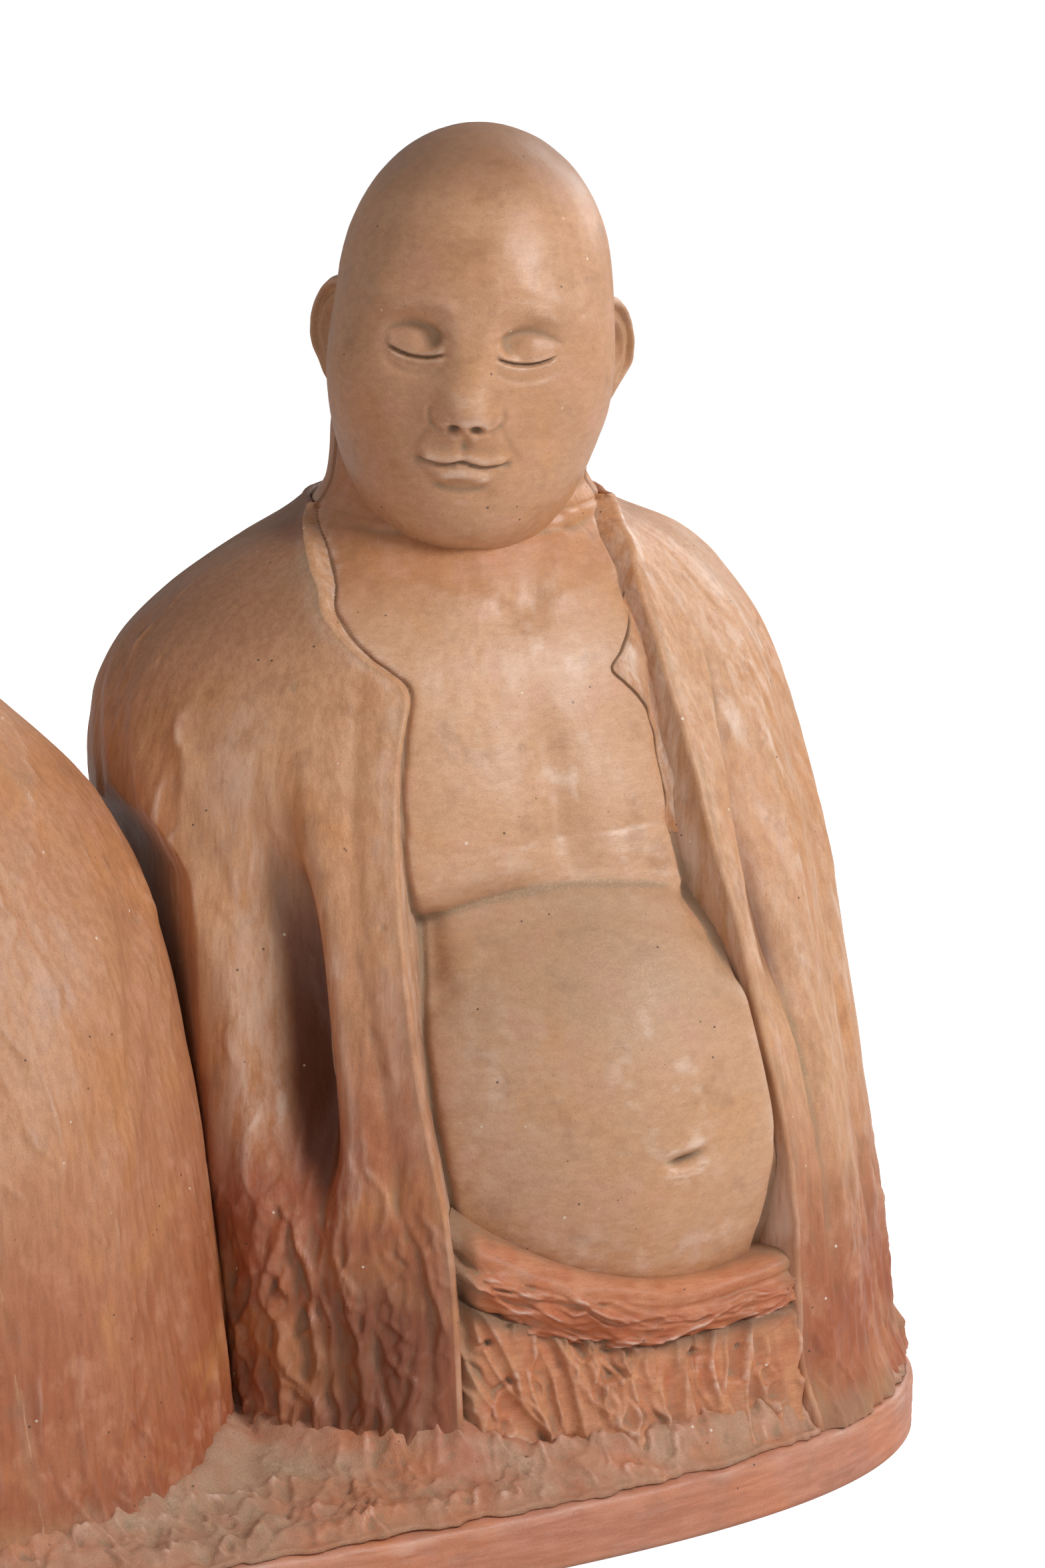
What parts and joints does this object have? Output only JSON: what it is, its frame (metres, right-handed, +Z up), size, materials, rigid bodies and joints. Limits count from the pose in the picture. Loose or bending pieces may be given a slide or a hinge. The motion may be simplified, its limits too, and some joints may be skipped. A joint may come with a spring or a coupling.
{
  "type": "terracotta figure group",
  "caption": "Fired clay group of seated monks side by side on one low rounded plinth, one with an open robe over a round belly, the other wrapped.",
  "frame": {"origin": "middle of the plinth's underside, on the surface that it stands on", "axes": "+X along the plinth, -Y towards the viewer in front of the figures, +Z up"},
  "size_m": [0.699, 0.3894, 0.6032],
  "materials": {
    "skin_clay": "unglazed fired clay, waxed and softly rubbed, tan",
    "robe_clay": "unglazed fired clay, waxed, ochre above and redder below, dust in the folds",
    "skirt_clay": "unglazed red fired clay with open tool strokes",
    "ground_clay": "rough pressed red clay, dusty",
    "plinth_clay": "smoothed red fired clay with a soft wax sheen"
  },
  "bodies": {
    "root": {"plinth_rim": "plinth_clay", "plinth_deck": "plinth_clay", "plinth_rib_1": "plinth_clay", "plinth_rib_2": "plinth_clay", "plinth_rib_3": "plinth_clay", "ground_front": "ground_clay", "ground_back": "ground_clay", "right_trunk_lower": "skin_clay", "right_trunk_upper": "skin_clay", "right_neck": "skin_clay", "right_head_front": "skin_clay", "right_head_back": "skin_clay", "right_ear_l": "skin_clay", "right_ear_r": "skin_clay", "right_robe_front_l": "robe_clay", "right_robe_front_r": "robe_clay", "right_sleeve_l": "robe_clay", "right_sleeve_r": "robe_clay", "right_robe_back": "robe_clay", "left_trunk_lower": "skin_clay", "left_trunk_upper": "skin_clay", "left_neck": "skin_clay", "left_head_front": "skin_clay", "left_head_back": "skin_clay", "left_ear_l": "skin_clay", "left_ear_r": "skin_clay", "left_robe_front_l": "robe_clay", "left_robe_front_r": "robe_clay", "left_sleeve_l": "robe_clay", "left_sleeve_r": "robe_clay", "left_robe_back": "robe_clay", "right_collar_flap": "robe_clay", "right_sash": "skirt_clay", "right_skirt": "skirt_clay"}
  },
  "joints": []
}
